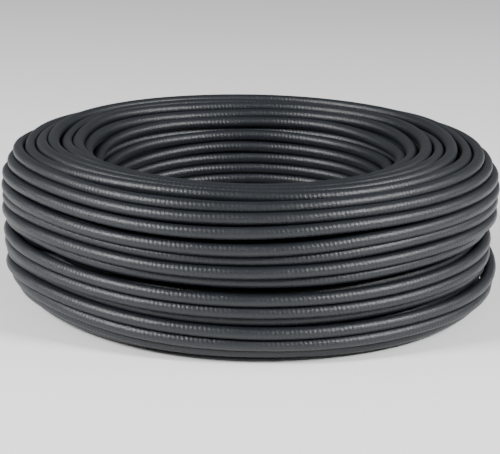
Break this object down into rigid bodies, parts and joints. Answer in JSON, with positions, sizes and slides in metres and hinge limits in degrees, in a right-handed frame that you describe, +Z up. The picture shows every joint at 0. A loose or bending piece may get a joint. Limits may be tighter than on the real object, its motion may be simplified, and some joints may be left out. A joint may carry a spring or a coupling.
{
  "type": "network cable coil",
  "caption": "Coil of dark round-jacketed network cable, wound by hand into a thick ring that lies flat, with a wide open bore.",
  "frame": {"origin": "centre of the coil's underside, on the axis of its bore, on the floor it lies on", "axes": "+Z up along the axis of the bore; the side seen in the picture faces -Y"},
  "size_m": [0.31, 0.31, 0.1],
  "materials": {
    "jacket": "dark blue-grey satin polyethylene jacket, smooth, with the twist of the pairs inside showing as a faint ripple"
  },
  "bodies": {
    "root": {"cable_coil": "jacket"}
  },
  "joints": []
}
